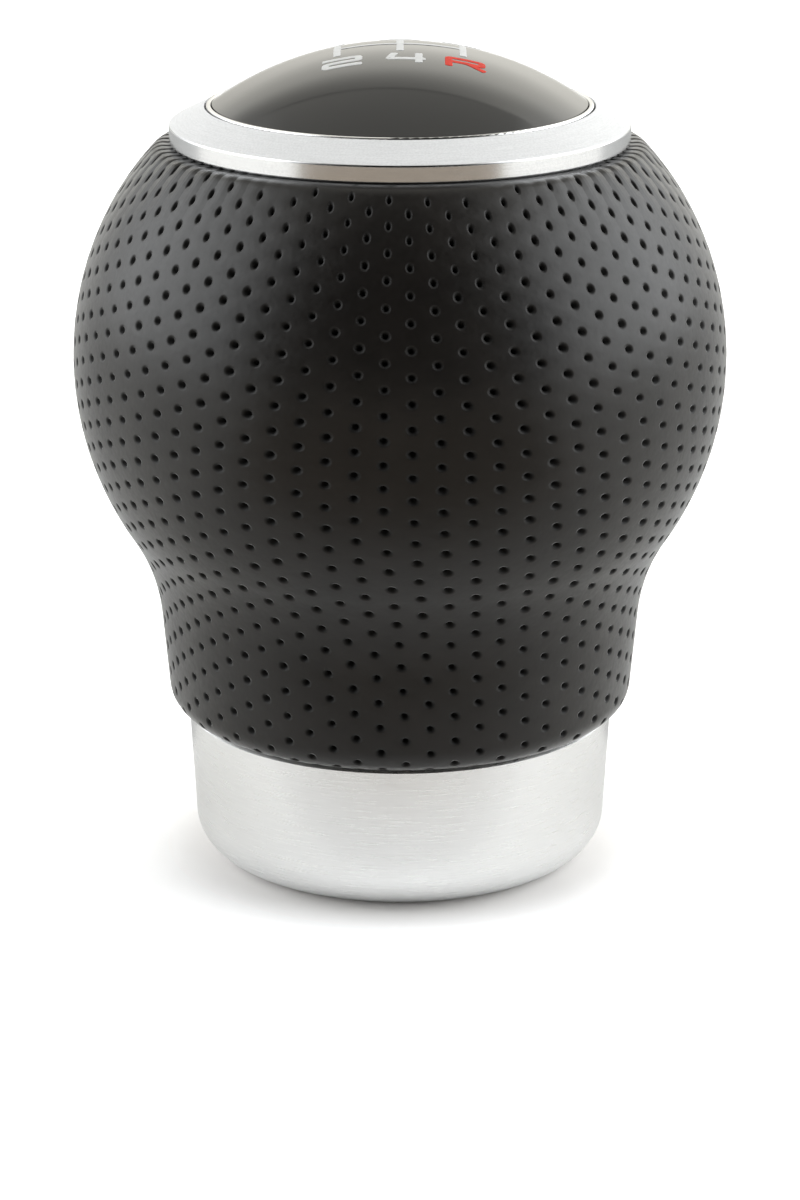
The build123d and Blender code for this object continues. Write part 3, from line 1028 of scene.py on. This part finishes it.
def dome_stroke(places, width, layer):
    """A flat path raised to the dome, with its side square to the path and to the dome's normal.

    The height over the sphere's centre is the root of its radius squared less the distance from the axis
    squared.
    """
    flat = even_path(places, width / 2)
    rise = np.sqrt(dome_sphere**2 - (flat**2).sum(axis=1))
    path = np.column_stack([flat, dome_centre[2] + rise])
    out = (path - dome_centre) / dome_sphere
    layered = path + out * layer * LAYER_STEP
    return stroke(layered, side_of(path, out), out, width / 2, PRINT_HEIGHT, cap=STROKE_CAP)


print("strokes stand", PRINT_HEIGHT, "mm above the dome")

# %% Gates and figures
GATE_STEP = 5.25
GATE_REACH = 2.5
GATE_WIDTH = 0.62
FIGURE_ROW = 4.6
FIGURE_SIZE = np.array([2.75, 1.75])
FIGURE_WIDTH = 0.62
LOWER_SHIFT = 0.45
REVERSE_SHIFT = 0.15
figure_places = {
    "1": (-GATE_STEP, FIGURE_ROW), "3": (0, FIGURE_ROW), "5": (GATE_STEP, FIGURE_ROW),
    "2": (LOWER_SHIFT - GATE_STEP, -FIGURE_ROW), "4": (LOWER_SHIFT, -FIGURE_ROW),
    "R": (REVERSE_SHIFT + GATE_STEP, -FIGURE_ROW),
}


def figure(sign):
    """The strokes of one figure, scaled to its size and moved to its place on the cap."""
    return [
        dome_stroke(places * FIGURE_SIZE + figure_places[sign], FIGURE_WIDTH, layer)
        for layer, places in enumerate(FIGURE_STROKES[sign])
    ]


gate_lines = [line((x, -GATE_REACH), (x, GATE_REACH)) for x in (-GATE_STEP, 0, GATE_STEP)]
gate_lines.append(line((-GATE_STEP, 0), (GATE_STEP, 0)))
white_strokes = [dome_stroke(places, GATE_WIDTH, layer) for layer, places in enumerate(gate_lines)]
for sign in "13524":
    white_strokes += figure(sign)
print("white strokes", len(white_strokes))

# %% [markdown]
# ## Printing inks
# The pattern is screen printed: a thin, matt and nearly even coat of ink, with a slightly cloudy tone. Its
# gloss is much weaker than the cap's, so it stays readable where the dome reflects the light. A picture of
# the print would need a map on the dome. Ink on raised strokes needs none.


# %% Print the pattern
def ink(name, dark, light):
    """Screen printed ink: nearly even, with a slightly cloudy tone and a matt surface."""
    material, tree, shader = new_finish(name, light, 0.6, ior=1.17)
    cloud = noise(tree, object_place(tree), 1500.0)
    feed(
        tree, shader,
        base_color=tone(tree, spread(tree, cloud, 0, 1), dark, light),
        roughness=spread(tree, cloud, 0.55, 0.68),
    )
    add_bump(tree, shader, cloud, 0.002)
    return material


white_ink = ink("white_ink", (0.55, 0.55, 0.545), (0.62, 0.62, 0.615))
red_ink = ink("red_ink", (0.52, 0.044, 0.03), (0.62, 0.056, 0.038))
make_piece("shift_pattern", *join_strokes(white_strokes), white_ink, "cap", "gloss_black")
make_piece("reverse_mark", *join_strokes(figure("R")), red_ink, "cap", "gloss_black")

# %% [markdown]
# ## The seam at the back
# The sheet's two ends are folded in and laid edge to edge, and thread crosses from one fold to the other. The
# folds are one narrow strip that fills the leather's dip, drawn as a height across the seam: two soft rolls
# with a groove between them. The thread is a row of short strokes. Copies of one stitch would all be alike,
# while strokes laid on the leather follow its curve.

# %% The folded edges
FOLD_REACH = 1.9
FOLD_HEIGHT = 0.12
FOLD_SINK = 0.55
END_SINK = 0.45
GROOVE_DEPTH = 0.4
GROOVE_HALF_WIDTH = 0.22
FOLD_ROWS = 160
FOLD_COLUMNS = 25


def seam_fold():
    """Height across the seam: a roll that sinks at both sides, less a narrow bell for the groove."""
    run = np.linspace(SEAM_START, SEAM_STOP, FOLD_ROWS)[:, None]
    share = np.linspace(-1, 1, FOLD_COLUMNS)[None, :]
    reach = FOLD_REACH * share
    ends = seam_ends(run)
    roll = FOLD_HEIGHT * (1 - share**2) - FOLD_SINK * share**6
    groove = GROOVE_DEPTH * np.exp(-((reach / GROOVE_HALF_WIDTH) ** 2))
    lift = (roll - groove) * ends - END_SINK * (1 - ends)
    turn = math.pi + reach / grip_radius_at(run)
    points = on_grip(np.broadcast_to(run, turn.shape), turn, lift)
    index = np.arange(turn.size).reshape(turn.shape)
    quads = facets(index[1:, :-1], index[1:, 1:], index[:-1, 1:], index[:-1, :-1])
    return points.reshape(-1, 3), [quads]


make_piece("seam_fold", *seam_fold(), leather, "grip", "black_leather")

# %% [markdown]
# ## The sewing thread
# Waxed thread is twisted from strands, so its gloss comes and goes along a stitch. The strands could be swept
# as a small rope, but the thread is only 0.4 mm thick. A slanted wave over a smooth stroke gives the twist as
# tone, roughness and bump, and is enough at that size.


# %% Sewing thread
def thread_finish():
    """Waxed black thread: twisted strands as slanted waves, a dull tone and a little sheen."""
    material, tree, shader = new_finish("thread", (0.02, 0.02, 0.021), 0.6, sheen_weight=0.3)
    place = object_place(tree, (900, 900, 1500))
    slanted = {"bands_direction": "DIAGONAL"}
    wave = add_node(tree, "ShaderNodeTexWave", slanted, Vector=place, Scale=1.0, Distortion=1.0)
    twist = wave.outputs["Fac"]
    feed(
        tree, shader,
        base_color=tone(tree, twist, (0.012, 0.012, 0.012), (0.03, 0.03, 0.031)),
        roughness=spread(tree, twist, 0.7, 0.5, 0, 1),
    )
    add_bump(tree, shader, twist, 0.05)
    return material


sewing_thread = thread_finish()
print("finish", sewing_thread.name)

# %% Stitches across the seam
STITCH_COUNT = 16
STITCH_POINTS = 15
STITCH_REACH = 1.2
STITCH_RISE = 0.1
STITCH_SINK = 0.42
STITCH_START = 4.5
THREAD_RADIUS = 0.19


def stitch(run):
    """One stitch across the seam, as a fourth power: out of one fold, over the groove and into the other."""
    share = np.linspace(-1, 1, STITCH_POINTS)
    turn = math.pi + STITCH_REACH * share / grip_radius_at(run)
    lift = STITCH_RISE - STITCH_SINK * share**4
    runs = np.full(STITCH_POINTS, run)
    path = on_grip(runs, turn, lift)
    out = on_grip(runs, turn, lift + 1) - path
    return stroke(path, side_of(path, out), out, THREAD_RADIUS, THREAD_RADIUS)


stitch_runs = np.linspace(SEAM_START + STITCH_START, SEAM_STOP - STITCH_START, STITCH_COUNT)
stitches = join_strokes([stitch(run) for run in stitch_runs])
make_piece("seam_stitches", *stitches, sewing_thread, "grip", "black_leather")

# %% [markdown]
# ## The paper floor
# The knob stands on a sheet of white paper in a light tent. Light from all sides gives it a wide, pale shadow
# there. The paper keeps that real shadow, and for the camera its tone is changed as well: a painted shadow
# darkens a narrow ring beside the foot, and further away the paper is lifted to plain white, so that the
# shadow hugs the foot. Reflections and bounced light see the plain paper. The sheet goes down with the collar
# when the collar is unscrewed.


# %% Sheets of the studio
def ease(tree, value, start, stop, low=0.0, high=1.0):
    """A value that eases from low to high while the input runs from start to stop."""
    return spread(tree, value, low, high, start, stop, "SMOOTHSTEP")


def seen_past(tree):
    """1 for rays from the camera and through clear pieces, 0 for reflected and bounced light."""
    path = add_node(tree, "ShaderNodeLightPath").outputs
    return math_of(tree, "MAXIMUM", path["Is Camera Ray"], path["Is Transmission Ray"])


def studio_sheet(name, corners, height, material):
    """A flat sheet with four corners and a height in metres, not part of the knob, which follows its foot."""
    mesh = bpy.data.meshes.new(name)
    mesh.from_pydata([(x, y, height) for x, y in corners], [], [(0, 1, 2, 3)])
    mesh.materials.append(material)
    sheet = bpy.data.objects.new(name, mesh)
    bpy.context.scene.collection.objects.link(sheet)
    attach(sheet, "collar")
    print(name, "from", corners[0], "to", corners[2])
    return sheet


print("sheet helpers ready")

# %% Paper floor
FLOOR_HALF = 3.0
PAPER = (0.96, 0.955, 0.935)
# Camera-only paper tones: a painted shadow in a ring beside the foot, and a lift to white further out.
PAINTED_SHADOW_PAPER = (0.75, 0.73, 0.715)
PAPER_AWAY = (1.22, 1.21, 1.215)
LIFT_START = 0.016
LIFT_STOP = 0.025


def floor_finish():
    """White paper with faint clouds and no gloss. For the camera a painted shadow darkens it beside the foot,
    easing out to a lift to white.
    """
    material, tree, shader = new_finish("floor_white", PAPER, 0.9, specular_ior_level=0.0)
    place = object_place(tree)
    paper = tone(tree, noise(tree, place, 40.0), (0.958, 0.95, 0.932), (0.966, 0.958, 0.94))
    away = ease(tree, axis_reach(tree, axes_of(tree, place)), LIFT_START, LIFT_STOP)
    # Painted shadow: for the camera the paper is darkened beside the foot and eases out to the lift to white.
    shown_with_painted_shadow = tone(tree, away, PAINTED_SHADOW_PAPER, PAPER_AWAY)
    feed(tree, shader, base_color=tone(tree, seen_past(tree), paper, shown_with_painted_shadow))
    return material


floor_corners = [(FLOOR_HALF * x, FLOOR_HALF * y) for x, y in ((-1, -1), (1, -1), (1, 1), (-1, 1))]
studio_sheet("floor", floor_corners, 0, floor_finish())

# %% [markdown]
# ## Cards in the reflections
# Bright metal and glossy leather show whatever lies round them, so a photographer lays cards beside them. A
# brown card in front of the knob gives the leather's middle and the ring's side their dark, warm tone. It is
# paler close to the knob, for the collar. Behind the knob a grey card keeps the collar's back from turning
# white. A darker floor would do the same, but it would take light from everything else. The cards are seen by
# reflections alone: they cast no shadow and the camera looks through them.

# %% Brown and grey cards
CARD_HEIGHT = 0.001
FRONT_CARD = ((0.05, -0.024), (1.3, -1.2))
BACK_CARD = ((0.04, 0.02), (1.3, 0.6))


def card_finish(name, near, far, start, stop):
    """Matt card whose colour eases from a near to a far one while Y runs from start to stop."""
    material, tree, shader = new_finish(name, far, 0.8)
    share = ease(tree, axes_of(tree, object_place(tree))["Y"], start, stop)
    feed(tree, shader, base_color=tone(tree, share, near, far))
    return material


def reflected_card(name, near, far, material):
    """A card as wide as twice x at a near and a far distance y, which only reflections show."""
    (near_x, near_y), (far_x, far_y) = near, far
    corners = [(-far_x, far_y), (far_x, far_y), (near_x, near_y), (-near_x, near_y)]
    card = studio_sheet(name, corners, CARD_HEIGHT, material)
    card.visible_camera = False
    card.visible_diffuse = False
    card.visible_shadow = False


brown_card = card_finish(
    "card_brown", near=(0.8, 0.79, 0.775), far=(0.3, 0.25, 0.2), start=-0.025, stop=-0.073
)
grey_card = card_finish(
    "card_grey", near=(0.5, 0.5, 0.5), far=(0.54, 0.54, 0.54), start=0.02, stop=0.6
)
reflected_card("front_card", *FRONT_CARD, brown_card)
reflected_card("back_card", *BACK_CARD, grey_card)

# %% [markdown]
# ## Light of the tent
# The tent's opening is behind the camera. That is why the front of the leather is nearly black while its
# sides shine. Lamps at fixed places would each leave a spot on the cap, so the light is one world, given by
# direction: walls that grow brighter upwards and to the right, a lamp behind the cloth at either side, a flat
# roof panel with a dark pole along its far edge, which the cap mirrors as a line, and the dark opening
# towards -Y. Light from the middle is a little warm and light from the sides a little cool. For the camera
# the background is plain white.

# %% Light of the walls
WALL_FOOT = 1.04
WALL_LIGHT = 1.7
WALL_CLIMB = (0, 0.32)
WALL_LEFT = 0.84
WALL_RIGHT = 1.16
WALL_TURN = (-0.45, 0.45)
LEFT_LIGHT = 2.4
LEFT_SPAN = (-0.25, -0.88)
RIGHT_LIGHT = 2.45
RIGHT_SPAN = (0.05, 0.8)
LAMP_DEPTH = (0.35, 0.75)
ROOF_REACH = 0.745
ROOF_EDGE = 0.46
EDGE_FADE = 1.4
EDGE_ENDS = (0.6, 1.1)


def wall_light(tree, axes, across, away):
    """Walls that brighten upwards and to the right, dimmer past the roof's edge, and a lamp at each side."""
    climb = ease(tree, axes["Z"], *WALL_CLIMB, WALL_FOOT, WALL_LIGHT)
    wall = math_of(tree, "MULTIPLY", climb, ease(tree, axes["X"], *WALL_TURN, WALL_LEFT, WALL_RIGHT))
    past_edge = ease(tree, away, ROOF_REACH, EDGE_FADE, ROOF_EDGE, 1)
    fall = math_of(tree, "MAXIMUM", past_edge, ease(tree, across, *EDGE_ENDS))
    left = ease(tree, axes["X"], *LEFT_SPAN, 0, LEFT_LIGHT)
    right = ease(tree, axes["X"], *RIGHT_SPAN, 0, RIGHT_LIGHT)
    lamps = math_of(tree, "ADD", left, right)
    lamps = math_of(tree, "MULTIPLY", lamps, ease(tree, axes["Y"], *LAMP_DEPTH, 1, 0))
    return math_of(tree, "ADD", math_of(tree, "MULTIPLY", wall, fall), lamps)


print("walls", WALL_FOOT, "to", WALL_LIGHT, "lamps", LEFT_LIGHT, RIGHT_LIGHT)

# %% Roof, pole and opening
ROOF_LIGHT = 0.7
ROOF_SIDES = (0.5, 0.75)
ROOF_FAR = (0.72, 0.75)
ROOF_BEND = (0.16, -0.35)
LOWEST_RISE = 0.02
POLE_SHADE = 0.45
POLE_HALF = 0.025
OPENING_LIGHT = 0.02
OPENING_SPAN = (-0.44, 0.2)
OPENING_CURVE = 0.4


def roof_places(tree, axes):
    """Where a direction meets the flat roof: its reach to the side, |x| / z, and away from the camera, y / z.

    The roof's far edge is bent a little: with s = x / z, the reach away grows by s times a first number plus
    s squared times a second one.
    """
    rise = math_of(tree, "MAXIMUM", axes["Z"], LOWEST_RISE)
    aside = math_of(tree, "DIVIDE", axes["X"], rise)
    bend = math_of(tree, "MULTIPLY", aside, math_of(tree, "MULTIPLY_ADD", aside, ROOF_BEND[1], ROOF_BEND[0]))
    away = math_of(tree, "ADD", math_of(tree, "DIVIDE", axes["Y"], rise), bend)
    return math_of(tree, "ABSOLUTE", aside), away


def tent_light(tree, axes, sideways):
    """Strength of the light by direction: walls, roof panel, the pole at its far edge and the opening."""
    across, away = roof_places(tree, axes)
    beneath = ease(tree, across, *ROOF_SIDES, 1, 0)
    roof = math_of(tree, "MULTIPLY", beneath, ease(tree, away, *ROOF_FAR, 1, 0))
    inside = mix_of(tree, roof, wall_light(tree, axes, across, away), ROOF_LIGHT)
    near_half = ease(tree, away, ROOF_REACH - POLE_HALF, ROOF_REACH)
    far_half = ease(tree, away, ROOF_REACH, ROOF_REACH + POLE_HALF, 1, 0)
    pole = math_of(tree, "MULTIPLY", math_of(tree, "MULTIPLY", near_half, far_half), beneath)
    lit = math_of(tree, "MULTIPLY", inside, spread(tree, pole, 1, POLE_SHADE, 0, 1))
    forward = math_of(tree, "MULTIPLY_ADD", sideways, OPENING_CURVE, axes["Y"])
    return math_of(tree, "MULTIPLY", lit, ease(tree, forward, *OPENING_SPAN, OPENING_LIGHT, 1))


print("roof", ROOF_LIGHT, "with its edge at", ROOF_REACH, "of its height")

# %% The tent as a world
WARM_LIGHT = (1.0, 0.98, 0.9)
COOL_LIGHT = (0.975, 1.0, 1.015)
HUE_SPAN = (0.3, 0.75)


def tent_world():
    """The tent's light with its warm and cool hue, and plain white where the camera looks past the knob."""
    world = bpy.data.worlds.new("tent")
    world.use_nodes = True
    tree = world.node_tree
    axes = axes_of(tree, add_node(tree, "ShaderNodeTexCoord").outputs["Generated"])
    sideways = math_of(tree, "ABSOLUTE", axes["X"])
    hue = tone(tree, ease(tree, sideways, *HUE_SPAN), WARM_LIGHT, COOL_LIGHT)
    past = seen_past(tree)
    strength = mix_of(tree, past, tent_light(tree, axes, sideways), 1.0)
    feed(tree, tree.nodes["Background"], color=tone(tree, past, hue, (1, 1, 1)), strength=strength)
    return world


bpy.context.scene.world = tent_world()
print("studio ready")

# %% [markdown]
# ## The camera
# The photograph looks down on the knob a little, from fairly close: a long lens, at a distance of about four
# times the knob's height, which gives the collar and the ring their slight change of curve. A camera can be
# aimed by a constraint, but its height and tilt were fitted to the ring's and the collar's ovals, so they are
# plain numbers here. The picture's long side is its height.

# %% Camera
CAMERA_PLACE = (0, -302.0, 119.4)
CAMERA_TILT = 17.82
CAMERA_LENS = 108.2
camera_data = bpy.data.cameras.new("camera")
camera_data.lens = CAMERA_LENS
camera_data.sensor_width = 36
camera_data.clip_start = 0.01
camera = bpy.data.objects.new("camera", camera_data)
camera.location = [place * MM for place in CAMERA_PLACE]
camera.rotation_euler = (math.radians(90 - CAMERA_TILT), 0, 0)
bpy.context.scene.collection.objects.link(camera)
bpy.context.scene.camera = camera
bpy.context.scene.view_settings.view_transform = "Standard"
print("camera at", tuple(camera.location))
